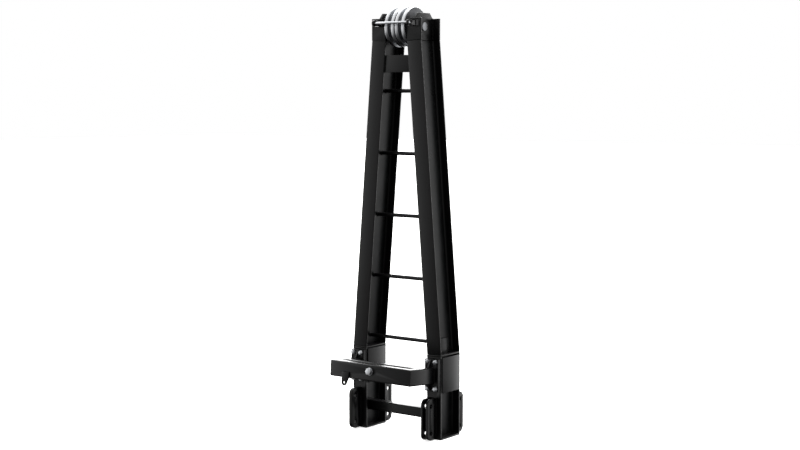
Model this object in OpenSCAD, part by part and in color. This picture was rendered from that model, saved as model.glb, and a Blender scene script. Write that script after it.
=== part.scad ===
// Hoist mast: two leaning H-beam legs on clevis feet, with a bolted U-shaped beam
// at the front, ladder rungs between the legs and two rope sheaves at the crown.
// X runs across the mast, -Y is the front, Z is up. Millimetres.

/* [Mast] */
// Distance between the centre lines of the two foot posts
foot_gauge = 456; // [400:2:520]
// Distance between the centre lines of the two head posts
head_gauge = 213; // [205:1:230]
// Height of the joint between a foot post and its leg
foot_joint_z = 412; // [405:1:500]
// Height of the joint between a leg and its head post
head_joint_z = 1920; // [1600:5:2400]
// Length of a head post's flange plates above that joint
head_h = 107; // [95:1:130]

/* [Beam section] */
// Depth of the H-beam from front face to rear face
beam_d = 160; // [150:1:190]
// Width of the H-beam's flanges
flange_w = 82; // [78:1:95]
// Thickness of the H-beam's flanges
flange_t = 7.4; // [6:0.1:9]
// Thickness of the H-beam's web
web_t = 5; // [4:0.1:8]
// Radius between web and flange
root_r = 9; // [6:0.5:10]

/* [Feet] */
// Thickness of the plate under each foot post
foot_plate_t = 8; // [6:0.5:16]
// Reach of the ears beyond the beam's front and rear faces
ear_reach = 70; // [60:1:90]
// Height of the ears
ear_h = 202; // [180:1:215]
// Gap between the ears' lower edge and the ground
ear_lift = 3; // [1:0.5:6]
// Thickness of one ear
ear_t = 10; // [8:0.5:14]
// Clear gap between the two ears of a pair
ear_gap = 20; // [14:0.5:26]
// Thickness of the single lug on the front of the left foot post
front_lug_t = 20; // [16:0.5:24]
// How far the middle of an ear pair sits inboard of the foot post's centre line
ear_inset = 6; // [0:0.5:8]
// Radius of the ears' outer corners
ear_corner_r = 30; // [20:1:32]
// Diameter of the ears' pin holes
ear_hole_d = 21; // [14:0.5:26]
// Distance from an ear hole to the ear's outer edge
ear_hole_edge = 30; // [22:0.5:34]
// Height of the lower ear holes
ear_hole_z = 36; // [30:0.5:45]
// Distance between the lower and upper ear holes
ear_hole_pitch = 132; // [100:1:140]
// Side of the square tube that joins the foot posts
cross_tube = 50; // [40:1:70]
// Height of that tube's centre line
cross_tube_z = 106; // [80:1:180]

/* [Joint plates] */
// Thickness of the splice plate between foot post and leg
splice_t = 8; // [6:0.5:14]
// How far the splice plate stands proud of the beam on every side
splice_proud = 0.5; // [0.5:0.5:4]
// Thickness of the side plates that box in the foot post
boxing_t = 5; // [4:0.5:8]
// Width of the side plates
boxing_w = 142; // [130:1:150]
// Height of the side plates
boxing_h = 172; // [150:1:180]
// Height of the side plates' lower edge
boxing_z = 228; // [215:1:230]
// Width of the doubler plate on each leg's web
doubler_w = 74; // [60:1:100]
// Height of the doubler plate
doubler_h = 72; // [60:1:110]
// Thickness of the doubler plate
doubler_t = 8; // [5:0.5:10]

/* [Ladder] */
// Number of rungs
rung_count = 5; // [3:1:5]
// Diameter of a rung
rung_d = 19; // [16:0.5:26]
// Distance between rungs
rung_pitch = 305; // [250:1:305]
// Height of the lowest rung
rung_z = 459; // [445:1:470]
// Height of the tie plate's lower edge
tie_z = 1768; // [1700:1:1800]
// Height of the tie plate
tie_h = 83; // [60:1:85]
// Thickness of the tie plate
tie_t = 10; // [6:0.5:14]
// How far the tie plate laps behind each leg's front flange
tie_lap = 15; // [8:0.5:20]

/* [Head] */
// Thickness of the head post's front and rear plates
head_plate_t = 10; // [8:0.5:12]
// Thickness of the cheek plates that carry the axle
cheek_t = 12; // [10:0.5:16]
// How far the cheek's middle sits inboard of the head post's centre line
cheek_inset = 2.5; // [0:0.5:4]
// Rise of the cheek above the head plates
cheek_rise = 26; // [20:1:40]
// Length of the cheek's top edge
cheek_top = 94; // [80:1:110]
// Width of the window in each front plate
window_w = 62; // [60:0.5:64]
// Height of the window
window_h = 28; // [26:0.5:30]
// Width of the strip between the window and the plate's inner edge
window_edge = 5; // [4:0.5:7]
// Height of the bar above the window
window_top = 9; // [8:0.5:12]
// Radius of the window's corners
window_r = 4; // [2:0.5:6]

/* [Sheaves] */
// Height of the axle above the head joint
axle_up = 67; // [60:1:75]
// Diameter of the axle
axle_d = 40; // [30:0.5:45]
// How far the axle's plain end stands proud of the cheek
axle_proud = 4; // [1:0.5:8]
// Outer diameter of a sheave
sheave_d = 192; // [160:1:196]
// Width of a sheave
sheave_w = 58; // [50:0.5:59]
// Width of each of its two rims
rim_w = 18; // [14:0.5:20]
// Depth of the rope groove
groove_depth = 26; // [18:0.5:34]
// Diameter of the rope that the groove's bottom fits
rope_d = 16; // [12:0.5:18]
// Wall of the bush pressed into each sheave
bush_wall = 5; // [3:0.5:8]
// Radial running clearance between bush and axle
run_clear = 0.06; // [0.02:0.01:0.1]
// Side clearance of a sheave on each side
side_clear = 0.5; // [0.3:0.1:1]
// Thickness of the thrust washer between the sheaves
thrust_t = 3; // [2:0.5:4]
// Wall of the spacers between sheaves and cheeks
spacer_wall = 9; // [5:0.5:14]

/* [Rope keeper] */
// Diameter of the keeper rod
keeper_d = 12; // [10:0.5:14]
// Distance of the keeper rod in front of the axle
keeper_forward = 120; // [116:1:130]
// Gap between a keeper lug and the upper and lower edges of its window
keeper_gap = 0.5; // [0.5:0.5:2]
// How far the keeper rod stands out of its lugs at each end
keeper_end = 1; // [0.5:0.5:3]

/* [U beam] */
// Height of the U beam's underside where it meets the bracket plates
beam_z = 274; // [268:1:280]
// Angle by which the U beam rises towards the front
beam_tilt = 5; // [0:0.5:8]
// Height of the U beam's tubes
tube_h = 80; // [65:1:84]
// Depth of the U beam's tubes
tube_w = 42; // [35:1:50]
// Wall of the U beam's tubes
tube_wall = 5; // [3:0.5:6]
// Outer corner radius of the tubes
tube_r = 7; // [6.5:0.5:10]
// How far the arms' outer faces sit outboard of the foot posts' centre lines
arm_out = 16; // [8:0.5:18]
// Reach of the U beam in front of the beam's front face
u_reach = 211; // [180:1:260]
// Width of the slot between the front bar and the inner bar
slot_w = 38; // [12:1:50]
// Height of the centre bolt above the middle of the tubes
bolt_up = 7; // [0:0.5:12]
// Thickness of the bolted bracket plates
bracket_t = 20; // [12:0.5:24]
// Width of the bracket plates
bracket_w = 78; // [76:1:82]
// Height of the bracket plates
bracket_h = 157; // [154:1:162]
// Height of the bracket plates' lower edge
bracket_z = 238; // [235:1:242]
// Distance between the bolt columns of a bracket plate
bracket_bolt_x = 48; // [44:0.5:52]
// Distance between its bolt rows
bracket_bolt_z = 130; // [126:0.5:132]
// Thickness of the gussets
gusset_t = 8; // [6:0.5:12]
// Reach of the upper gussets
upper_gusset = 22; // [15:1:40]
// Reach of the lower gussets
lower_gusset = 40; // [20:1:60]

/* [Hook lug] */
// Distance of the hook lug's hole left of the middle
hook_x = 150; // [130:1:170]
// Depth of the hole below the U beam
hook_drop = 22; // [18:0.5:30]
// Radius of the lug's rounded end
hook_r = 15; // [12:0.5:18]
// Diameter of the lug's hole
hook_hole_d = 11; // [8:0.5:14]
// Width of the lug's upper part
hook_w = 42; // [34:1:50]
// Height of the part welded to the front bar
hook_lap = 30; // [20:1:50]
// Thickness of the lug
hook_t = 8; // [6:0.5:12]

/* [Fasteners] */
// Bracket bolt diameter
m_bracket = 12; // [10:1:12]
// Centre bolt diameter
m_centre = 20; // [16:1:24]
// Axle keeper screw diameter
m_keep = 10; // [8:1:12]
// Clearance of a bolt hole over its bolt, in diameter
hole_clear = 1; // [0.5:0.5:2]
// Thread left standing beyond a nut
thread_out = 3; // [1:0.5:5]

/* [Hidden] */

$fn = 96;
// Overshoot of a cutter past the face that it cuts
cut = 1;

// Legs
foot_x = foot_gauge / 2;
head_x = head_gauge / 2;
leg_rise = head_joint_z - foot_joint_z;
lean = atan((foot_x - head_x) / leg_rise);
leg_len = leg_rise / cos(lean);
front_y = -beam_d / 2;
web_clear = beam_d / 2 - flange_t;
function leg_x(z) = foot_x - (z - foot_joint_z) * tan(lean);

// Feet
ear_mid_x = foot_x - ear_inset;
ear_hole_y = beam_d / 2 + ear_reach - ear_hole_edge;

// Head
head_top_z = head_joint_z + head_h;
axle_z = head_joint_z + axle_up;
cheek_x = head_x - cheek_inset;
cheek_in = cheek_x - cheek_t / 2;
cheek_out = cheek_x + cheek_t / 2;
cheek_half = beam_d / 2 - head_plate_t;
window_z = head_top_z - window_top - window_h;
window_x = head_x - flange_w / 2 + window_edge;

// Sheaves
sheave_in = thrust_t / 2 + side_clear;
sheave_out = sheave_in + sheave_w;
bush_d = axle_d + 2 * run_clear + 2 * bush_wall;
spacer_in = sheave_out + side_clear;
spacer_d = axle_d + 2 * spacer_wall;
keep_plate_t = 6;
keep_plate_h = 26;
keep_plate_l = 64;
keep_notch = 6;
keep_screw_y = 22;
keep_end = 6;

// Rope keeper
lug_h = window_h - 2 * keeper_gap;
keeper_z = window_z + window_h / 2;
lug_nose_r = 11;

// U beam
u_front = front_y - u_reach;
u_half = foot_x + arm_out;
u_width = 2 * u_half;
arm_mid_x = u_half - tube_w / 2;
inner_bar_front = u_front + tube_w + slot_w;
inner_bar_rear = inner_bar_front + tube_w;
bracket_front = front_y - bracket_t;
centre_z = beam_z + tube_h / 2;
bolt_z = centre_z + bolt_up;
// Half the height of an arm where it is cut off at the plate's face
arm_half = tube_h / 2 / cos(beam_tilt);
bracket_mid_z = bracket_z + bracket_h / 2;
washer_t = 2.5;
big_washer_t = 3;

// Sizes of a hexagon fastener of thread diameter d
function hex_af(d) = d <= 8 ? 13 : d <= 10 ? 17 : d <= 12 ? 19 : d <= 16 ? 24 : d <= 20 ? 30 : 36;
function head_t(d) = round(0.63 * d * 2) / 2;
function nut_t(d) = round(0.85 * d * 2) / 2;
function washer_od(d) = hex_af(d) * 1.22;

// The origin lies on the ground below the middle of the whole part. The front-most
// point is the lower edge of the centre bolt's head or of the hook lug.
bolt_front = bracket_front - u_front + big_washer_t + head_t(m_centre);
lug_front = bracket_front - u_front + hook_t;
lug_low = tube_h / 2 + hook_drop + hook_r;
front_most = -bracket_front
    + max(bolt_front * cos(beam_tilt) + (hex_af(m_centre) / 2 - bolt_up) * sin(beam_tilt),
          lug_front * cos(beam_tilt) + lug_low * sin(beam_tilt));
rear_most = beam_d / 2 + ear_reach;
origin_y = (front_most - rear_most) / 2;

black = [0.07, 0.07, 0.075];
zinc = [0.75, 0.76, 0.78];
steel = [0.62, 0.63, 0.65];
bronze = [0.72, 0.53, 0.28];

// ---- helpers -------------------------------------------------------------

module placed() {
    translate([0, origin_y, 0]) children();
}

// The U beam's own frame, turned about the middle of its joint with the bracket plates
module tilted() {
    translate([0, bracket_front, centre_z]) rotate([-beam_tilt, 0, 0])
        translate([0, -bracket_front, -centre_z]) children();
}

// side is 1 for right, -1 for left
module on_side(side) {
    mirror([side < 0 ? 1 : 0, 0, 0]) children();
}

module rounded_rect(w, h, r) {
    square([w - 2 * r, h], center = true);
    square([w, h - 2 * r], center = true);
    for (x = [-1, 1], y = [-1, 1])
        translate([x * (w / 2 - r), y * (h / 2 - r)]) circle(r);
}

// Tube profile with rounded outer and inner corners
module tube_profile(w, h) {
    difference() {
        rounded_rect(w, h, tube_r);
        rounded_rect(w - 2 * tube_wall, h - 2 * tube_wall, tube_r - tube_wall);
    }
}

// The open channel on the +X side of the H-beam
module beam_channel() {
    x0 = web_t / 2;
    open_x = flange_w;
    translate([x0, -web_clear + root_r]) square([open_x, 2 * (web_clear - root_r)]);
    translate([x0 + root_r, -web_clear]) square([open_x, 2 * web_clear]);
    for (y = [-1, 1])
        translate([x0 + root_r, y * (web_clear - root_r)]) circle(root_r);
}

module beam_section() {
    difference() {
        square([flange_w, beam_d], center = true);
        beam_channel();
        mirror([1, 0, 0]) beam_channel();
    }
}

// Frame of the mitred joint at (x, z): its XY plane is the mitre
module at_mitre(x, z) {
    translate([x, 0, z]) rotate([0, -lean / 2, 0]) children();
}

// Everything above (up = 1) or below (up = -1) a mitre, as a cutter
module mitre_half(x, z, up, gap = 0) {
    reach = 400;
    at_mitre(x, z)
        translate([-reach / 2, -reach / 2, up > 0 ? gap : -gap - 3 * reach])
            cube([reach, reach, 3 * reach]);
}

// Hexagon prism along +Z, flats facing +Y and -Y
module hex(af, h) {
    cylinder(d = af / cos(30), h = h, $fn = 6);
}

// Hexagon nut or washer along +Z, from z = 0
module nut(d, t) {
    difference() {
        hex(hex_af(d), t);
        translate([0, 0, -cut]) cylinder(d = d, h = t + 2 * cut);
    }
}

module washer(d, t) {
    difference() {
        cylinder(d = washer_od(d), h = t);
        translate([0, 0, -cut]) cylinder(d = d + hole_clear, h = t + 2 * cut);
    }
}

// Bolt along +Z: the underside of its head lies at z = 0
module bolt(d, len) {
    translate([0, 0, -head_t(d)]) hex(hex_af(d), head_t(d));
    cylinder(d = d, h = len);
}

// Points +Z of its children towards the rear, at the given place
module facing_rear(x, y, z) {
    translate([x, y, z]) rotate([-90, 0, 0]) children();
}

// ---- feet ----------------------------------------------------------------

module foot_plate(side) {
    color(black) placed() on_side(side)
        translate([foot_x, 0, 0])
            linear_extrude(foot_plate_t) square([flange_w, beam_d], center = true);
}

module stub(side) {
    color(black) placed() on_side(side)
        difference() {
            translate([foot_x, 0, foot_plate_t])
                linear_extrude(foot_joint_z + flange_w - foot_plate_t) beam_section();
            mitre_half(foot_x, foot_joint_z, 1, -splice_t);
            bracket_holes(front_y - cut, flange_t + 2 * cut);
        }
}

// Four bolt holes along Y through whatever lies at y
module bracket_holes(y, len) {
    bracket_bolt_places() facing_rear(0, y, 0)
        cylinder(d = m_bracket + hole_clear, h = len);
}

module bracket_bolt_places() {
    for (x = [-1, 1], z = [-1, 1])
        translate([foot_x + x * bracket_bolt_x / 2, 0, bracket_mid_z + z * bracket_bolt_z / 2])
            children();
}

module ear_outline() {
    r = ear_corner_r;
    square([ear_reach - r, ear_h]);
    translate([0, r]) square([ear_reach, ear_h - 2 * r]);
    for (z = [r, ear_h - r]) translate([ear_reach - r, z]) circle(r);
}

// One ear of thickness t from x outwards, on the front (face = -1) or rear (face = 1)
module ear(x, t, face) {
    translate([x, 0, 0]) mirror([0, face < 0 ? 1 : 0, 0])
        difference() {
            translate([0, beam_d / 2, ear_lift]) rotate([90, 0, 90]) linear_extrude(t) ear_outline();
            for (z = [ear_hole_z, ear_hole_z + ear_hole_pitch])
                translate([-cut, ear_hole_y, z]) rotate([0, 90, 0])
                    cylinder(d = ear_hole_d, h = t + 2 * cut);
        }
}

// A pair of ears on a foot post
module ears(side, face) {
    color(black) placed() on_side(side)
        for (i = [-1, 1])
            ear(ear_mid_x + i * (ear_gap + ear_t) / 2 - ear_t / 2, ear_t, face);
}

// The left post's front carries one thick lug, flush with the outer ears' outer faces
module front_lug() {
    color(black) placed() on_side(-1)
        ear(ear_mid_x + ear_gap / 2 + ear_t - front_lug_t, front_lug_t, -1);
}

module boxing_plates(side) {
    color(black) placed() on_side(side)
        for (x = [foot_x + flange_w / 2, foot_x - flange_w / 2 - boxing_t])
            translate([x, -boxing_w / 2, boxing_z]) cube([boxing_t, boxing_w, boxing_h]);
}

module lower_cross_tube() {
    len = 2 * (foot_x - web_t / 2);
    color(black) placed()
        translate([-len / 2, 0, cross_tube_z]) rotate([90, 0, 90])
            linear_extrude(len) tube_profile(cross_tube, cross_tube);
}

// ---- legs ----------------------------------------------------------------

module splice_plate(side) {
    color(black) placed() on_side(side)
        at_mitre(foot_x, foot_joint_z)
            translate([0, 0, -splice_t]) linear_extrude(splice_t)
                square([flange_w + 2 * splice_proud, beam_d + 2 * splice_proud], center = true);
}

module leg(side) {
    color(black) placed() on_side(side)
        difference() {
            translate([foot_x, 0, foot_joint_z]) rotate([0, -lean, 0])
                translate([0, 0, -flange_w])
                    linear_extrude(leg_len + 2 * flange_w) beam_section();
            mitre_half(foot_x, foot_joint_z, -1);
            mitre_half(head_x, head_joint_z, 1);
        }
}

module web_doubler(side) {
    color(black) placed() on_side(side)
        difference() {
            translate([foot_x, 0, foot_joint_z]) rotate([0, -lean, 0])
                translate([web_t / 2, -doubler_w / 2, -flange_w])
                    cube([doubler_t, doubler_w, doubler_h + flange_w]);
            mitre_half(foot_x, foot_joint_z, -1);
        }
}

module tie_plate() {
    low = leg_x(tie_z) - flange_w / 2 / cos(lean) + tie_lap;
    high = leg_x(tie_z + tie_h) - flange_w / 2 / cos(lean) + tie_lap;
    color(black) placed()
        translate([0, front_y + flange_t + tie_t, tie_z]) rotate([90, 0, 0])
            linear_extrude(tie_t)
                polygon([[-low, 0], [low, 0], [high, tie_h], [-high, tie_h]]);
}

// A rung runs from web to web, its ends cut to the lean of the legs
module rung(i) {
    z = rung_z + (i - 1) * rung_pitch;
    low = leg_x(z - rung_d) - web_t / 2 / cos(lean);
    high = leg_x(z + rung_d) - web_t / 2 / cos(lean);
    color(black) placed()
        intersection() {
            translate([-foot_x, 0, z]) rotate([0, 90, 0]) cylinder(d = rung_d, h = 2 * foot_x);
            translate([0, rung_d, z]) rotate([90, 0, 0]) linear_extrude(2 * rung_d)
                polygon([[-low, -rung_d], [low, -rung_d], [high, rung_d], [-high, rung_d]]);
        }
}

// ---- head ----------------------------------------------------------------

module head_plate(side, face) {
    y = face < 0 ? front_y : -front_y - head_plate_t;
    color(black) placed() on_side(side)
        difference() {
            translate([head_x - flange_w / 2, y, head_joint_z - flange_w])
                cube([flange_w, head_plate_t, head_h + flange_w]);
            mitre_half(head_x, head_joint_z, -1);
            if (face < 0)
                translate([window_x + window_w / 2, y + head_plate_t + cut, window_z + window_h / 2])
                    rotate([90, 0, 0]) linear_extrude(head_plate_t + 2 * cut)
                        rounded_rect(window_w, window_h, window_r);
        }
}

module cheek(side) {
    color(black) placed() on_side(side)
        difference() {
            translate([cheek_in, 0, 0]) rotate([90, 0, 90]) linear_extrude(cheek_t)
                polygon([[-cheek_half, head_joint_z - flange_w], [cheek_half, head_joint_z - flange_w],
                         [cheek_half, head_top_z], [cheek_top / 2, head_top_z + cheek_rise],
                         [-cheek_top / 2, head_top_z + cheek_rise], [-cheek_half, head_top_z]]);
            mitre_half(head_x, head_joint_z, -1);
            translate([cheek_in - cut, 0, axle_z]) rotate([0, 90, 0])
                cylinder(d = axle_d, h = cheek_t + 2 * cut);
            if (side < 0)
                for (y = [-1, 1])
                    translate([cheek_in - cut, y * keep_screw_y, keep_plate_mid_z()])
                        rotate([0, 90, 0]) cylinder(d = m_keep, h = cheek_t + 2 * cut);
        }
}

// Height of the keeper plate's middle: its top edge enters the axle's notch
function keep_plate_mid_z() = axle_z - axle_d / 2 + keep_notch - keep_plate_h / 2;

module axle() {
    left_end = cheek_out + keep_plate_t + keep_end;
    color(zinc) placed()
        difference() {
            translate([-left_end, 0, axle_z]) rotate([0, 90, 0])
                cylinder(d = axle_d, h = left_end + cheek_out + axle_proud);
            translate([-cheek_out - keep_plate_t, -axle_d, axle_z - axle_d - axle_d / 2 + keep_notch])
                cube([keep_plate_t, 2 * axle_d, axle_d]);
        }
}

module axle_keeper_plate() {
    color(black) placed()
        difference() {
            translate([-cheek_out - keep_plate_t, -keep_plate_l / 2, keep_plate_mid_z() - keep_plate_h / 2])
                cube([keep_plate_t, keep_plate_l, keep_plate_h]);
            for (y = [-1, 1])
                translate([-cheek_out - keep_plate_t - cut, y * keep_screw_y, keep_plate_mid_z()])
                    rotate([0, 90, 0]) cylinder(d = m_keep + hole_clear, h = keep_plate_t + 2 * cut);
        }
}

module axle_keeper_screws() {
    color(black) placed()
        for (y = [-1, 1])
            translate([-cheek_out - keep_plate_t, y * keep_screw_y, keep_plate_mid_z()])
                rotate([0, 90, 0]) bolt(m_keep, keep_plate_t + cheek_t);
}

module ring_along_x(x, od, id, len) {
    translate([x, 0, axle_z]) rotate([0, 90, 0])
        difference() {
            cylinder(d = od, h = len);
            translate([0, 0, -cut]) cylinder(d = id, h = len + 2 * cut);
        }
}

module spacer(side) {
    color(steel) placed() on_side(side)
        ring_along_x(spacer_in, spacer_d, axle_d, cheek_in - spacer_in);
}

module thrust_washer() {
    color(bronze) placed() ring_along_x(-thrust_t / 2, spacer_d, axle_d, thrust_t);
}

// Half profile of a sheave: flat sides, broad rims, a groove with a round bottom
module sheave_profile() {
    r = sheave_d / 2;
    rope_r = rope_d / 2 + 1;
    mouth = sheave_w / 2 - rim_w;
    chamfer = 2;
    difference() {
        polygon([[bush_d / 2, 0], [r - chamfer, 0], [r, chamfer],
                 [r, sheave_w - chamfer], [r - chamfer, sheave_w], [bush_d / 2, sheave_w]]);
        polygon([[r + cut, sheave_w / 2 - mouth], [r + cut, sheave_w / 2 + mouth],
                 [r - groove_depth + rope_r, sheave_w / 2 + rope_r],
                 [r - groove_depth + rope_r, sheave_w / 2 - rope_r]]);
        translate([r - groove_depth + rope_r, sheave_w / 2]) circle(rope_r);
    }
}

module sheave(side) {
    color(zinc) placed() on_side(side)
        translate([sheave_in, 0, axle_z]) rotate([0, 90, 0])
            rotate_extrude($fn = 180) sheave_profile();
}

module bush(side) {
    color(bronze) placed() on_side(side)
        ring_along_x(sheave_in, bush_d, axle_d + 2 * run_clear, sheave_w);
}

// A lug stands on the cheek plate's front edge, in line with it, and reaches through the window
module keeper_lug(side) {
    r = lug_nose_r;
    nose = [-keeper_forward, lug_h / 2 - r];
    color(black) placed() on_side(side)
        translate([cheek_in, 0, keeper_z]) rotate([90, 0, 90])
            linear_extrude(cheek_t)
                difference() {
                    union() {
                        polygon([[-cheek_half, -lug_h / 2], [-cheek_half, lug_h / 2],
                                 [nose[0], lug_h / 2], nose, [nose[0] - r, nose[1]],
                                 [nose[0] - r, r - lug_h / 2], [nose[0], -lug_h / 2]]);
                        translate(nose) circle(r);
                        translate([nose[0], r - lug_h / 2]) circle(r);
                    }
                    translate([nose[0], 0]) circle(d = keeper_d);
                }
}

module keeper_rod() {
    half = cheek_out + keeper_end;
    color(zinc) placed()
        translate([-half, -keeper_forward, keeper_z]) rotate([0, 90, 0])
            cylinder(d = keeper_d, h = 2 * half);
}

// ---- U beam --------------------------------------------------------------

module bracket_plate(side) {
    color(black) placed() on_side(side)
        difference() {
            translate([foot_x - bracket_w / 2, bracket_front, bracket_z])
                cube([bracket_w, bracket_t, bracket_h]);
            bracket_holes(bracket_front - cut, bracket_t + 2 * cut);
        }
}

// Triangular rib in the YZ plane between the plate and an arm's sloping edge at z0
module gusset(z0, z1, reach) {
    translate([arm_mid_x - gusset_t / 2, bracket_front, 0]) rotate([90, 0, 90])
        linear_extrude(gusset_t)
            polygon([[0, z0], [-reach, z0 + reach * tan(beam_tilt)], [0, z1]]);
}

module upper_gussets() {
    color(black) placed()
        for (side = [-1, 1]) on_side(side)
            gusset(centre_z + arm_half, bracket_z + bracket_h, upper_gusset);
}

module lower_gussets() {
    color(black) placed()
        for (side = [-1, 1]) on_side(side)
            gusset(centre_z - arm_half, bracket_z + 4, lower_gusset);
}

module bracket_bolts() {
    color(zinc) placed()
        for (side = [-1, 1]) on_side(side) bracket_bolt_places()
            facing_rear(0, bracket_front - washer_t, 0)
                bolt(m_bracket, washer_t + bracket_t + flange_t + nut_t(m_bracket) + thread_out);
}

module bracket_washers() {
    color(zinc) placed()
        for (side = [-1, 1]) on_side(side) bracket_bolt_places()
            facing_rear(0, bracket_front - washer_t, 0) washer(m_bracket, washer_t);
}

module bracket_nuts() {
    color(zinc) placed()
        for (side = [-1, 1]) on_side(side) bracket_bolt_places()
            facing_rear(0, front_y + flange_t, 0) nut(m_bracket, nut_t(m_bracket));
}

// Prism that keeps only the inside of the U beam's 45 degree corner joints:
// the front bar lies in front of it, the arms lie beside it
module mitre_wedge() {
    deep = tube_w + cut;
    translate([0, u_front, beam_z - cut]) linear_extrude(tube_h + 2 * cut)
        polygon([[-u_half, 0], [u_half, 0], [u_half - deep, deep], [deep - u_half, deep]]);
}

module centre_hole() {
    facing_rear(0, u_front - cut, bolt_z)
        cylinder(d = m_centre + hole_clear, h = inner_bar_rear - u_front + 2 * cut);
}

module front_bar() {
    color(black) placed() tilted()
        difference() {
            intersection() {
                translate([-u_half, u_front + tube_w / 2, centre_z]) rotate([90, 0, 90])
                    linear_extrude(u_width) tube_profile(tube_w, tube_h);
                mitre_wedge();
            }
            centre_hole();
        }
}

module inner_bar() {
    len = u_width - 2 * tube_w;
    color(black) placed() tilted()
        difference() {
            translate([-len / 2, inner_bar_front + tube_w / 2, centre_z]) rotate([90, 0, 90])
                linear_extrude(len) tube_profile(tube_w, tube_h);
            centre_hole();
        }
}

module arm(side) {
    over = tube_h;
    color(black) placed() on_side(side)
        difference() {
            tilted() difference() {
                translate([arm_mid_x, bracket_front + over, centre_z]) rotate([90, 0, 0])
                    linear_extrude(u_reach - bracket_t + over) tube_profile(tube_w, tube_h);
                mitre_wedge();
            }
            translate([arm_mid_x - tube_w, bracket_front, centre_z - tube_h])
                cube([2 * tube_w, 2 * over, 2 * tube_h]);
        }
}

module hook_lug() {
    // The lug's left edge is square, its right edge tapers to the rounded end
    hole = [-hook_x, beam_z - hook_drop];
    right = -hook_x - hook_r + hook_w;
    dx = right - hole[0];
    dz = hook_drop;
    dist = norm([dx, dz]);
    a = atan2(dz, dx) - acos(hook_r / dist);
    tangent = hole + hook_r * [cos(a), sin(a)];
    color(black) placed() tilted()
        translate([0, u_front, 0]) rotate([90, 0, 0]) linear_extrude(hook_t)
            difference() {
                union() {
                    translate(hole) circle(hook_r);
                    polygon([hole, tangent, [right, beam_z], [right, beam_z + hook_lap],
                             [-hook_x - hook_r, beam_z + hook_lap], [-hook_x - hook_r, hole[1]]]);
                }
                translate(hole) circle(d = hook_hole_d);
            }
}

module centre_bolt() {
    grip = inner_bar_rear - u_front + 2 * big_washer_t;
    color(zinc) placed() tilted()
        facing_rear(0, u_front - big_washer_t, bolt_z)
            bolt(m_centre, grip + nut_t(m_centre) + thread_out);
}

module centre_washers() {
    color(zinc) placed() tilted() {
        facing_rear(0, u_front - big_washer_t, bolt_z) washer(m_centre, big_washer_t);
        facing_rear(0, inner_bar_rear, bolt_z) washer(m_centre, big_washer_t);
    }
}

module centre_nut() {
    color(zinc) placed() tilted()
        facing_rear(0, inner_bar_rear + big_washer_t, bolt_z) nut(m_centre, nut_t(m_centre));
}

// ---- nodes ---------------------------------------------------------------

foot_plate(-1);  // left_foot_plate
foot_plate(1);  // right_foot_plate
stub(-1);  // left_stub
stub(1);  // right_stub
splice_plate(-1);  // left_splice_plate
splice_plate(1);  // right_splice_plate
leg(-1);  // left_leg
leg(1);  // right_leg
web_doubler(-1);  // left_web_doubler
web_doubler(1);  // right_web_doubler
front_lug();  // left_front_lug
ears(-1, 1);  // left_rear_ears
ears(1, -1);  // right_front_ears
ears(1, 1);  // right_rear_ears
boxing_plates(-1);  // left_boxing_plates
boxing_plates(1);  // right_boxing_plates
lower_cross_tube();
tie_plate();
for (i = [1:rung_count])
    rung(i);
head_plate(-1, -1);  // left_head_front
head_plate(1, -1);  // right_head_front
head_plate(-1, 1);  // left_head_rear
head_plate(1, 1);  // right_head_rear
cheek(-1);  // left_cheek
cheek(1);  // right_cheek
axle();
axle_keeper_plate();
axle_keeper_screws();
spacer(-1);  // left_spacer
spacer(1);  // right_spacer
thrust_washer();
sheave(-1);  // left_sheave
sheave(1);  // right_sheave
bush(-1);  // left_bush
bush(1);  // right_bush
keeper_lug(-1);  // left_keeper_lug
keeper_lug(1);  // right_keeper_lug
keeper_rod();
bracket_plate(-1);  // left_bracket_plate
bracket_plate(1);  // right_bracket_plate
upper_gussets();
lower_gussets();
bracket_bolts();
bracket_washers();
bracket_nuts();
front_bar();
inner_bar();
arm(-1);  // left_arm
arm(1);  // right_arm
hook_lug();
centre_bolt();
centre_washers();
centre_nut();
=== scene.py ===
import bpy
import math
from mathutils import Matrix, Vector


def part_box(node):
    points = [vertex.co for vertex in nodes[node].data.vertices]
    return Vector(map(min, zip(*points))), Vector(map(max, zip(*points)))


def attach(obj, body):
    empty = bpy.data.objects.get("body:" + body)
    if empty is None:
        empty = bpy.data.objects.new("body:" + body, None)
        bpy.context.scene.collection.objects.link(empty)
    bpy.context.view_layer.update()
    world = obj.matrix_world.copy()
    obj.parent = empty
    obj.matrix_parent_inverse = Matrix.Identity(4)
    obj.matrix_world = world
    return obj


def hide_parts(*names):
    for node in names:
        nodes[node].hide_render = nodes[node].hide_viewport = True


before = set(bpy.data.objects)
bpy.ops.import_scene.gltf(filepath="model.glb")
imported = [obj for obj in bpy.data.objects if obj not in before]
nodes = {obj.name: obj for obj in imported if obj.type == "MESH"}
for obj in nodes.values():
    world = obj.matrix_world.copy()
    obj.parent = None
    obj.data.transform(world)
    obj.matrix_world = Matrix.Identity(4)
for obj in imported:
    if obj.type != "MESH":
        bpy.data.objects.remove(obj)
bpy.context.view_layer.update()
bpy.ops.object.select_all(action="DESELECT")

# ---- Camera, floor and light ---------------------------------------------
# A product studio: the mast stands on a seamless pale floor that runs into a white
# wall behind it. The room is brightest at the rear left, so tops are bright and fronts dark.
bpy.ops.object.camera_add(location=(4.38724, -5.76948, 1.65605),
                          rotation=(math.radians(85.051), 0, math.radians(37.109)))
camera = bpy.context.object
camera.name = "camera"
camera.data.lens = 67.24
camera.data.sensor_width = 36
camera.data.clip_end = 200
bpy.context.scene.camera = camera
bpy.context.scene.view_settings.view_transform = "Standard"


def linear(code):
    parts = [int(code[i:i + 2], 16) / 255 for i in (1, 3, 5)]
    return [c / 12.92 if c <= 0.04045 else ((c + 0.055) / 1.055) ** 2.4 for c in parts] + [1]


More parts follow.
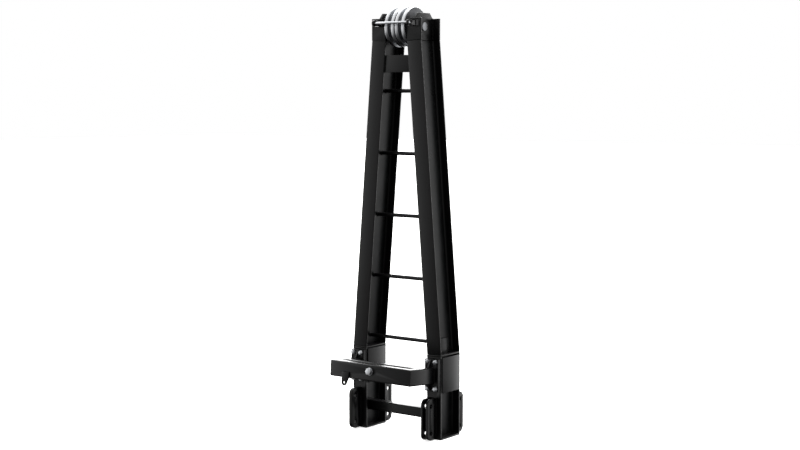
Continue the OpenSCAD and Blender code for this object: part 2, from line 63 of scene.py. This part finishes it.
def add(tree, kind, settings=(), links=()):
    made = tree.nodes.new(kind)
    for key, value in dict(settings).items():
        if isinstance(key, str) and hasattr(made, key):
            setattr(made, key, value)
        else:
            made.inputs[key].default_value = value
    for key, (source, out) in dict(links).items():
        tree.links.new(source.outputs[out], made.inputs[key])
    return made


def paint(stops, ramp):
    """Gives a colour ramp its stops: place and sRGB colour."""
    line = ramp.color_ramp
    for i, (place, code) in enumerate(stops):
        stop = line.elements[i] if i < 2 else line.elements.new(place)
        stop.position = place
        stop.color = linear(code)


world = bpy.data.worlds.new("studio")
bpy.context.scene.world = world
world.use_nodes = True
air = world.node_tree
air.nodes.clear()
way = add(air, "ShaderNodeTexCoord")
split = add(air, "ShaderNodeSeparateXYZ", links={0: (way, "Generated")})
# How far a direction points to the bright rear left of the room
towards = add(air, "ShaderNodeVectorMath", {"operation": "DOT_PRODUCT", 1: (-0.6, 0.8, 0)},
              {0: (way, "Generated")})
dim = add(air, "ShaderNodeMapRange", {"From Min": -0.9, "From Max": 0.3, "To Min": 0.15, "To Max": 1.4},
          {"Value": (towards, "Value")})
bright = add(air, "ShaderNodeMapRange", {"From Min": 0.45, "From Max": 0.90, "To Min": 0.0, "To Max": 4.0},
             {"Value": (towards, "Value")})
both = add(air, "ShaderNodeMath", {"operation": "ADD"}, {0: (dim, "Result"), 1: (bright, "Result")})
# Directions below the horizon fade to dark
lower = add(air, "ShaderNodeMapRange", {"From Min": -0.60, "From Max": -0.12, "To Min": 0.03, "To Max": 1.0},
            {"Value": (split, "Z")})
level = add(air, "ShaderNodeMath", {"operation": "MULTIPLY"}, {0: (both, 0), 1: (lower, "Result")})
room = add(air, "ShaderNodeBackground", {"Color": (1, 1, 1, 1)}, {"Strength": (level, 0)})
wall = add(air, "ShaderNodeBackground", {"Color": (1, 1, 1, 1), "Strength": 1.0})
sight = add(air, "ShaderNodeLightPath")
mixed = add(air, "ShaderNodeMixShader", links={0: (sight, "Is Camera Ray"), 1: (room, 0), 2: (wall, 0)})
add(air, "ShaderNodeOutputWorld", links={0: (mixed, 0)})

bpy.ops.object.light_add(type="SUN", rotation=(math.radians(-20), math.radians(12), 0))
sun = bpy.context.object
sun.name = "overhead_light"
sun.data.energy = 2.2
sun.data.angle = math.radians(40)

bpy.ops.object.light_add(type="AREA", location=(0.6, -5.4, 2.4))
fill = bpy.context.object
fill.name = "fill_light"
fill.rotation_euler = (Vector((0, 0, 1.1)) - fill.location).to_track_quat("-Z", "Y").to_euler()
fill.data.shape = "DISK"
fill.data.size = 1.4
fill.data.energy = 8

bpy.ops.mesh.primitive_plane_add(size=80, location=(0, 0, -0.0004))
floor = bpy.context.object
floor.name = "floor"
# The floor is only looked at: it does not light the mast or reflect in it
floor.visible_glossy = False
floor.visible_diffuse = False
bpy.ops.object.transform_apply(location=True, rotation=True, scale=True)
# Matt white vinyl over a lit table: the light from below washes out the shadows, and the
# grain only shows as a very faint mottling
vinyl = bpy.data.materials.new("studio_vinyl")
vinyl.use_nodes = True
tree = vinyl.node_tree
tree.nodes.clear()
place = add(tree, "ShaderNodeTexCoord")
mottle = add(tree, "ShaderNodeTexNoise", {"Scale": 3.0, "Detail": 3.0}, {"Vector": (place, "Object")})
tint = add(tree, "ShaderNodeValToRGB", links={"Fac": (mottle, "Fac")})
paint([(0.3, "#f6f6f5"), (0.7, "#fafafa")], tint)
skin = add(tree, "ShaderNodeBsdfPrincipled",
           {"Roughness": 0.7, "Specular IOR Level": 0.2, "Emission Strength": 0.75},
           {"Base Color": (tint, 0), "Emission Color": (tint, 0)})
add(tree, "ShaderNodeOutputMaterial", links={0: (skin, 0)})
floor.data.materials.append(vinyl)

# ---- Legs and foot posts ---------------------------------------------------
# Hot-rolled steel H-beams, sawn to the mitre, welded and powder-coated satin black.
# Rolled edges are rounded and take a thin line of light; the coat has a fine orange peel.
depth_mid = (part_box("left_leg")[0][1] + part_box("left_leg")[1][1]) / 2
beam_half_depth = 0.080
beam_half_width = 0.041
flange = 0.0074
web_half = 0.0025

powder = bpy.data.materials.new("satin_black_powder_coat")
powder.use_nodes = True
tree = powder.node_tree
tree.nodes.clear()
place = add(tree, "ShaderNodeTexCoord")
cloud = add(tree, "ShaderNodeTexNoise", {"Scale": 11.0, "Detail": 4.0, "Roughness": 0.55},
            {"Vector": (place, "Object")})
dust = add(tree, "ShaderNodeTexNoise", {"Scale": 420.0, "Detail": 3.0, "Roughness": 0.6},
           {"Vector": (place, "Object")})
# Orange peel is about 1.5 mm across
peel = add(tree, "ShaderNodeTexNoise", {"Scale": 640.0, "Detail": 2.0, "Roughness": 0.4},
           {"Vector": (place, "Object")})
tone = add(tree, "ShaderNodeValToRGB", links={"Fac": (cloud, "Fac")})
paint([(0.30, "#0b0b0c"), (0.52, "#0e0e0f"), (0.75, "#111112")], tone)
speck = add(tree, "ShaderNodeValToRGB", links={"Fac": (dust, "Fac")})
paint([(0.60, "#000000"), (0.78, "#1c1c1c")], speck)
body = add(tree, "ShaderNodeMix", {"data_type": "RGBA", "blend_type": "ADD", 0: 0.25},
           {6: (tone, 0), 7: (speck, 0)})
shine = add(tree, "ShaderNodeMapRange", {"From Min": 0.3, "From Max": 0.7, "To Min": 0.27, "To Max": 0.35},
            {"Value": (cloud, "Fac")})
skin_bump = add(tree, "ShaderNodeBump", {"Strength": 0.18, "Distance": 0.00025}, {"Height": (peel, "Fac")})
coat = add(tree, "ShaderNodeBsdfPrincipled", {"IOR": 1.5, "Specular IOR Level": 0.30},
           {"Base Color": (body, 2), "Roughness": (shine, "Result"), "Normal": (skin_bump, "Normal")})
add(tree, "ShaderNodeOutputMaterial", links={0: (coat, 0)})


def eased(name, width, finish, rider="mast", steps=2):
    """Makes the visible copy of a CAD piece with its sharp edges broken, as grinding leaves them."""
    bpy.ops.object.select_all(action="DESELECT")
    piece = bpy.data.objects.new(name + "_shown", nodes[name].data.copy())
    bpy.context.scene.collection.objects.link(piece)
    piece.select_set(True)
    bpy.context.view_layer.objects.active = piece
    bpy.ops.mesh.customdata_custom_splitnormals_clear()
    bpy.ops.object.mode_set(mode="EDIT")
    bpy.ops.mesh.select_all(action="SELECT")
    bpy.ops.mesh.remove_doubles(threshold=0.00001)
    bpy.ops.mesh.dissolve_limited(angle_limit=math.radians(0.5))
    bpy.ops.object.mode_set(mode="OBJECT")
    if width:
        soft = piece.modifiers.new("edges", "BEVEL")
        soft.width = width
        soft.segments = steps
        soft.limit_method = "ANGLE"
        soft.angle_limit = math.radians(35)
        soft.use_clamp_overlap = True
        bpy.ops.object.modifier_apply(modifier="edges")
    bpy.ops.object.shade_smooth_by_angle(angle=math.radians(40))
    piece.data.materials.clear()
    piece.data.materials.append(finish)
    for face in piece.data.polygons:
        face.material_index = 0
    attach(piece, rider)
    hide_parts(name)
    return piece


def weld(name, runs, size, finish=powder, rings=()):
    """Lays one object's weld seams. A run is a start and an end; a ring is a middle and a radius about X."""
    made = []
    for start, end in runs:
        start, end = Vector(start), Vector(end)
        # Ripples follow each other at a bit over half of the bead's radius
        count = max(2, int((end - start).length / (size * 0.55)))
        bpy.ops.object.select_all(action="DESELECT")
        bpy.ops.mesh.primitive_uv_sphere_add(segments=8, ring_count=6, radius=size, location=start)
        ripple = bpy.context.object
        bpy.ops.object.mode_set(mode="EDIT")
        bpy.ops.mesh.select_all(action="SELECT")
        along = (end - start).normalized()
        bpy.ops.transform.resize(value=[1 - 0.25 * abs(a) for a in along])
        bpy.ops.object.mode_set(mode="OBJECT")
        bpy.ops.object.transform_apply(location=True, rotation=True, scale=True)
        row = ripple.modifiers.new("row", "ARRAY")
        row.count = count
        row.use_relative_offset = False
        row.use_constant_offset = True
        row.constant_offset_displace = (end - start) / (count - 1)
        bpy.ops.object.modifier_apply(modifier="row")
        made.append(ripple)
    for middle, radius in rings:
        bpy.ops.object.select_all(action="DESELECT")
        bpy.ops.mesh.primitive_torus_add(major_radius=radius, minor_radius=size, major_segments=40,
                                         minor_segments=8, location=middle, rotation=(0, math.radians(90), 0))
        ring = bpy.context.object
        wobble = ring.modifiers.new("ripples", "DISPLACE")
        wobble.strength = size * 0.3
        wobble.mid_level = 0.5
        cells = bpy.data.textures.new("weld_ripple", "CLOUDS")
        cells.noise_scale = size * 1.2
        wobble.texture = cells
        bpy.ops.object.modifier_apply(modifier="ripples")
        bpy.ops.object.transform_apply(location=True, rotation=True, scale=True)
        made.append(ring)
    bpy.ops.object.select_all(action="DESELECT")
    for part in made:
        part.select_set(True)
    bpy.context.view_layer.objects.active = made[0]
    if len(made) > 1:
        bpy.ops.object.join()
    seam = bpy.context.object
    seam.name = name
    bpy.ops.object.shade_smooth_by_angle(angle=math.radians(60))
    seam.data.materials.clear()
    seam.data.materials.append(finish)
    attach(seam, "mast")
    return seam


def leg_mid(z):
    """Distance of a leg's centre line from the middle at height z."""
    return 0.228 - (z - 0.412) * (0.228 - 0.1065) / (1.920 - 0.412)


for side in ("left", "right"):
    eased(side + "_leg", 0.0024, powder, steps=3)
    eased(side + "_stub", 0.0016, powder)
    eased(side + "_splice_plate", 0.0022, powder, steps=3)
    eased(side + "_boxing_plates", 0.0014, powder)
    eased(side + "_web_doubler", 0.0014, powder)
    eased(side + "_foot_plate", 0.0012, powder)

# ---- Cross tube, rungs and tie plate ---------------------------------------
# A square tube and five round bars stand between the two webs, each welded all round.
# The flat tie plate laps behind the front flanges and has a heavy seam at each end.
eased("lower_cross_tube", 0.0008, powder)
tube_half = 0.025
tube_z = 0.106
foot_mid = 0.228
seam_inset = 0.001
tube_end = foot_mid - web_half - seam_inset
seams = []
for side in (-1, 1):
    x = side * tube_end
    for a, b in (((-1, -1), (1, -1)), ((1, -1), (1, 1)), ((1, 1), (-1, 1)), ((-1, 1), (-1, -1))):
        seams.append([(x, depth_mid + tube_half * a[0], tube_z + tube_half * a[1]),
                      (x, depth_mid + tube_half * b[0], tube_z + tube_half * b[1])])
weld("cross_tube_seams", seams, 0.0032)

rung_rings = []
lowest_rung = 0.459
rung_pitch = 0.305
rung_seam_radius = 0.0100
for i in range(5):
    eased("rung_%d" % (i + 1), 0, powder)
    z = lowest_rung + rung_pitch * i
    for side in (-1, 1):
        rung_rings.append(((side * (leg_mid(z) - web_half - seam_inset), depth_mid, z), rung_seam_radius))
weld("rung_seams", [], 0.0028, rings=rung_rings)

eased("tie_plate", 0.0014, powder)
tie_low, tie_high = 1.770, 1.849
tie_face = depth_mid - beam_half_depth + flange
seams = []
for s in (-1, 1):
    seams.append([(s * (leg_mid(z) - beam_half_width), tie_face, z) for z in (tie_low, tie_high)])
weld("tie_plate_seams", seams, 0.0048)

# ---- Feet ------------------------------------------------------------------
# Flame-cut ears stand in pairs on the foot posts and take a bolt through both holes; the left
# post has one thick lug in front. All are welded down both of their sides to the flange.
seams = []
ear_sides = (0.202, 0.212, 0.232, 0.242)
lug_sides = (0.222, 0.242)
ear_seam_low, ear_seam_top = 0.012, 0.200
foot_plate_top = 0.008
web_face = foot_mid + web_half
for side, s in (("left", -1), ("right", 1)):
    for face, f in (("front", -1), ("rear", 1)):
        single = side == "left" and face == "front"
        eased("left_front_lug" if single else "%s_%s_ears" % (side, face), 0.0016, powder)
        for x in (lug_sides if single else ear_sides):
            y = depth_mid + f * beam_half_depth
            seams.append([(s * x, y, ear_seam_low), (s * x, y, ear_seam_top)])
    for x in (foot_mid - beam_half_width, foot_mid + beam_half_width):
        for f in (-1, 1):
            y = depth_mid + f * (beam_half_depth - flange)
            seams.append([(s * x, y, foot_plate_top), (s * web_face, y, foot_plate_top)])
weld("foot_seams", seams, 0.0028)

# ---- Head ------------------------------------------------------------------
# Thick front and rear plates with a cheek plate between them carry the axle. The front
# plates have a window each, through which the rope keeper's lugs stand out.
head_low, head_top = 1.925, 2.026
window_low = 1.988
lug_low, lug_top = 1.992, 2.016
cheek_inner, cheek_outer = 0.098, 0.110
cheek_half_depth = 0.070
seams = []
for side, s in (("left", -1), ("right", 1)):
    eased(side + "_head_front", 0.0030, powder, steps=4)
    eased(side + "_head_rear", 0.0016, powder)
    eased(side + "_cheek", 0.0030, powder, steps=4)
    eased(side + "_keeper_lug", 0.0014, powder)
    for x in (cheek_inner, cheek_outer):
        for f in (-1, 1):
            y = depth_mid + f * cheek_half_depth
            seams.append([(s * x, y, head_low), (s * x, y, window_low if f < 0 else head_top)])
    # The lug is seamed to the cheek's front edge on both of its sides
    y = depth_mid - cheek_half_depth
    for x in (cheek_inner + 0.0005, cheek_outer - 0.0005):
        seams.append([(s * x, y, lug_low), (s * x, y, lug_top)])
weld("head_seams", seams, 0.0034)

# ---- Axle and its keeper ---------------------------------------------------
# A ground steel pin, held on the left by a flat plate in a milled notch. Its turned end
# face shows fine rings about the centre, which spread the light.
axle_z = 1.987

ground = bpy.data.materials.new("ground_steel")
ground.use_nodes = True
tree = ground.node_tree
tree.nodes.clear()
place = add(tree, "ShaderNodeTexCoord")
centred = add(tree, "ShaderNodeMapping", {"Location": (0, -depth_mid, -axle_z)},
              {"Vector": (place, "Object")})
flat = add(tree, "ShaderNodeVectorMath", {"operation": "MULTIPLY", 1: (0, 1, 1)}, {0: (centred, 0)})
reach = add(tree, "ShaderNodeVectorMath", {"operation": "LENGTH"}, {0: (flat, 0)})
# Tool marks of about 0.8 mm feed
marks = add(tree, "ShaderNodeTexNoise", {"noise_dimensions": "1D", "Scale": 1200.0, "Detail": 2.0},
            {"W": (reach, "Value")})
haze = add(tree, "ShaderNodeTexNoise", {"Scale": 60.0, "Detail": 3.0}, {"Vector": (place, "Object")})
tone = add(tree, "ShaderNodeValToRGB", links={"Fac": (haze, "Fac")})
paint([(0.3, "#85878a"), (0.7, "#9a9c9f")], tone)
shine = add(tree, "ShaderNodeMapRange", {"To Min": 0.30, "To Max": 0.44}, {"Value": (marks, "Fac")})
relief = add(tree, "ShaderNodeBump", {"Strength": 0.2, "Distance": 0.0001}, {"Height": (marks, "Fac")})
metal = add(tree, "ShaderNodeBsdfPrincipled", {"Metallic": 1.0},
            {"Base Color": (tone, 0), "Roughness": (shine, "Result"), "Normal": (relief, "Normal")})
add(tree, "ShaderNodeOutputMaterial", links={0: (metal, 0)})

eased("axle", 0.0015, ground, steps=3)
eased("left_spacer", 0.0006, ground)
eased("right_spacer", 0.0006, ground)

# ---- Sheaves ---------------------------------------------------------------
# Two steel rope sheaves with turned, zinc-plated rims, each with a bronze bush pressed in.
# The lathe leaves rings about the axle; the rims are the brightest part of the head.
turned = bpy.data.materials.new("turned_zinc_plated_steel")
turned.use_nodes = True
tree = turned.node_tree
tree.nodes.clear()
place = add(tree, "ShaderNodeTexCoord")
centred = add(tree, "ShaderNodeMapping", {"Location": (0, -depth_mid, -axle_z)},
              {"Vector": (place, "Object")})
flat = add(tree, "ShaderNodeVectorMath", {"operation": "MULTIPLY", 1: (0, 1, 1)}, {0: (centred, 0)})
reach = add(tree, "ShaderNodeVectorMath", {"operation": "LENGTH"}, {0: (flat, 0)})
across = add(tree, "ShaderNodeSeparateXYZ", links={0: (place, "Object")})
total = add(tree, "ShaderNodeMath", {"operation": "ADD"}, {0: (reach, "Value"), 1: (across, "X")})
# The feed is drawn at about 1.2 mm, coarser than a real finishing cut, so that it shows
marks = add(tree, "ShaderNodeTexNoise", {"noise_dimensions": "1D", "Scale": 820.0, "Detail": 2.0},
            {"W": (total, 0)})
haze = add(tree, "ShaderNodeTexNoise", {"Scale": 34.0, "Detail": 4.0}, {"Vector": (place, "Object")})
tone = add(tree, "ShaderNodeValToRGB", links={"Fac": (haze, "Fac")})
paint([(0.3, "#c3c5c8"), (0.7, "#dcdddf")], tone)
shine = add(tree, "ShaderNodeMapRange", {"To Min": 0.24, "To Max": 0.38}, {"Value": (marks, "Fac")})
relief = add(tree, "ShaderNodeBump", {"Strength": 0.25, "Distance": 0.00012}, {"Height": (marks, "Fac")})
metal = add(tree, "ShaderNodeBsdfPrincipled", {"Metallic": 1.0},
            {"Base Color": (tone, 0), "Roughness": (shine, "Result"), "Normal": (relief, "Normal")})
add(tree, "ShaderNodeOutputMaterial", links={0: (metal, 0)})

bronze = bpy.data.materials.new("machined_bearing_bronze")
bronze.use_nodes = True
tree = bronze.node_tree
tree.nodes.clear()
place = add(tree, "ShaderNodeTexCoord")
stain = add(tree, "ShaderNodeTexNoise", {"Scale": 80.0, "Detail": 4.0}, {"Vector": (place, "Object")})
tone = add(tree, "ShaderNodeValToRGB", links={"Fac": (stain, "Fac")})
paint([(0.3, "#a27a45"), (0.7, "#c79a5c")], tone)
shine = add(tree, "ShaderNodeMapRange", {"To Min": 0.28, "To Max": 0.46}, {"Value": (stain, "Fac")})
metal = add(tree, "ShaderNodeBsdfPrincipled", {"Metallic": 1.0},
            {"Base Color": (tone, 0), "Roughness": (shine, "Result")})
add(tree, "ShaderNodeOutputMaterial", links={0: (metal, 0)})

# The rope groove is a duller and slightly darker grey than the rims; the darker grey is painted shade for the
# inside of the groove
groove_shade_grey = bpy.data.materials.new("rope_groove_painted_shade")
groove_shade_grey.use_nodes = True
tree = groove_shade_grey.node_tree
tree.nodes.clear()
place = add(tree, "ShaderNodeTexCoord")
groove_mottle = add(tree, "ShaderNodeTexNoise", {"Scale": 90.0, "Detail": 5.0, "Roughness": 0.6},
            {"Vector": (place, "Object")})
tone = add(tree, "ShaderNodeValToRGB", links={"Fac": (groove_mottle, "Fac")})
paint([(0.3, "#8e9093"), (0.7, "#a9abae")], tone)
shine = add(tree, "ShaderNodeMapRange", {"To Min": 0.30, "To Max": 0.50}, {"Value": (groove_mottle, "Fac")})
metal = add(tree, "ShaderNodeBsdfPrincipled", {"Metallic": 1.0},
            {"Base Color": (tone, 0), "Roughness": (shine, "Result")})
add(tree, "ShaderNodeOutputMaterial", links={0: (metal, 0)})

# The flat sides of a sheave are given a darker grey than the rims
side_grey = bpy.data.materials.new("darker_sheave_side_steel")
side_grey.use_nodes = True
tree = side_grey.node_tree
tree.nodes.clear()
place = add(tree, "ShaderNodeTexCoord")
grain = add(tree, "ShaderNodeTexNoise", {"Scale": 260.0, "Detail": 4.0}, {"Vector": (place, "Object")})
tone = add(tree, "ShaderNodeValToRGB", links={"Fac": (grain, "Fac")})
paint([(0.3, "#4c4d4f"), (0.7, "#626365")], tone)
shine = add(tree, "ShaderNodeMapRange", {"To Min": 0.36, "To Max": 0.52}, {"Value": (grain, "Fac")})
relief = add(tree, "ShaderNodeBump", {"Strength": 0.2, "Distance": 0.0002}, {"Height": (grain, "Fac")})
metal = add(tree, "ShaderNodeBsdfPrincipled", {"Metallic": 1.0},
            {"Base Color": (tone, 0), "Roughness": (shine, "Result"), "Normal": (relief, "Normal")})
add(tree, "ShaderNodeOutputMaterial", links={0: (metal, 0)})

sheave_radius = 0.096
sheave_mid = 0.031
groove_half = 0.0108
rim_edge = 0.0015
for side, s in (("left", -1), ("right", 1)):
    sheave = eased(side + "_sheave", 0.0012, turned, side + "_pulley")
    sheave.data.materials.append(groove_shade_grey)
    sheave.data.materials.append(side_grey)
    for face in sheave.data.polygons:
        away = math.hypot(face.center.y - depth_mid, face.center.z - axle_z)
        inside = away < sheave_radius - rim_edge
        # The groove faces take the darker grey, which paints the shade inside the groove
        if inside and abs(face.center.x - s * sheave_mid) < groove_half:
            face.material_index = 1
        elif inside and abs(face.normal.x) > 0.95:
            face.material_index = 2
    eased(side + "_bush", 0.0006, bronze, side + "_pulley")
eased("thrust_washer", 0.0004, bronze)

# ---- Fasteners and rope keeper rod -----------------------------------------
# Stock bolts, nuts, washers and a rod, bright zinc plated. The plating is smooth with a
# slight cloud in its gloss, and the corners of the hexagons are chamfered.
zinc = bpy.data.materials.new("bright_zinc_plate")
zinc.use_nodes = True
tree = zinc.node_tree
tree.nodes.clear()
place = add(tree, "ShaderNodeTexCoord")
haze = add(tree, "ShaderNodeTexNoise", {"Scale": 120.0, "Detail": 4.0}, {"Vector": (place, "Object")})
fine = add(tree, "ShaderNodeTexNoise", {"Scale": 900.0, "Detail": 2.0}, {"Vector": (place, "Object")})
tone = add(tree, "ShaderNodeValToRGB", links={"Fac": (haze, "Fac")})
paint([(0.3, "#bcbfc3"), (0.55, "#cfd1d4"), (0.75, "#dadbdc")], tone)
shine = add(tree, "ShaderNodeMapRange", {"To Min": 0.22, "To Max": 0.42}, {"Value": (haze, "Fac")})
relief = add(tree, "ShaderNodeBump", {"Strength": 0.12, "Distance": 0.0001}, {"Height": (fine, "Fac")})
metal = add(tree, "ShaderNodeBsdfPrincipled", {"Metallic": 1.0},
            {"Base Color": (tone, 0), "Roughness": (shine, "Result"), "Normal": (relief, "Normal")})
add(tree, "ShaderNodeOutputMaterial", links={0: (metal, 0)})

for name in ("axle_keeper_plate", "axle_keeper_screws"):
    eased(name, 0.0010, powder)
for name, width in (("keeper_rod", 0.0010), ("bracket_bolts", 0.0010), ("bracket_washers", 0.0004),
                    ("bracket_nuts", 0.0010), ("centre_bolt", 0.0016), ("centre_washers", 0.0005),
                    ("centre_nut", 0.0014)):
    eased(name, width, zinc)

# ---- U beam ----------------------------------------------------------------
# Rectangular tube, mitred at the corners, welded to thick plates that bolt to the legs.
# Small triangular gussets stiffen the arms, and a lug for a shackle hangs on its left half.
for name, width in (("left_bracket_plate", 0.0022), ("right_bracket_plate", 0.0022),
                    ("upper_gussets", 0.0012), ("lower_gussets", 0.0012),
                    ("front_bar", 0.0008), ("inner_bar", 0.0008),
                    ("left_arm", 0.0008), ("right_arm", 0.0008), ("hook_lug", 0.0014)):
    eased(name, width, powder)

plate_face = depth_mid - 0.100
arm_mid, arm_z = 0.223, 0.3140
arm_half_w, arm_half_h = 0.021, 0.0402
# The flat stretches of the tube's sides, without its round corners
flat_half_w, flat_half_h = 0.015, 0.031
gusset_half = 0.004
gusset_low, gusset_top = 0.244, 0.392
seams = []
for s in (-1, 1):
    for z in (arm_z - arm_half_h, arm_z + arm_half_h):
        seams.append([(s * (arm_mid + end), plate_face, z) for end in (-flat_half_w, flat_half_w)])
    for x in (arm_mid - arm_half_w, arm_mid + arm_half_w):
        seams.append([(s * x, plate_face, arm_z - flat_half_h), (s * x, plate_face, arm_z + flat_half_h)])
    for x in (arm_mid - gusset_half, arm_mid + gusset_half):
        seams.append([(s * x, plate_face, arm_z + arm_half_h), (s * x, plate_face, gusset_top)])
        seams.append([(s * x, plate_face, arm_z - arm_half_h), (s * x, plate_face, gusset_low)])
weld("bracket_seams", seams, 0.0030)
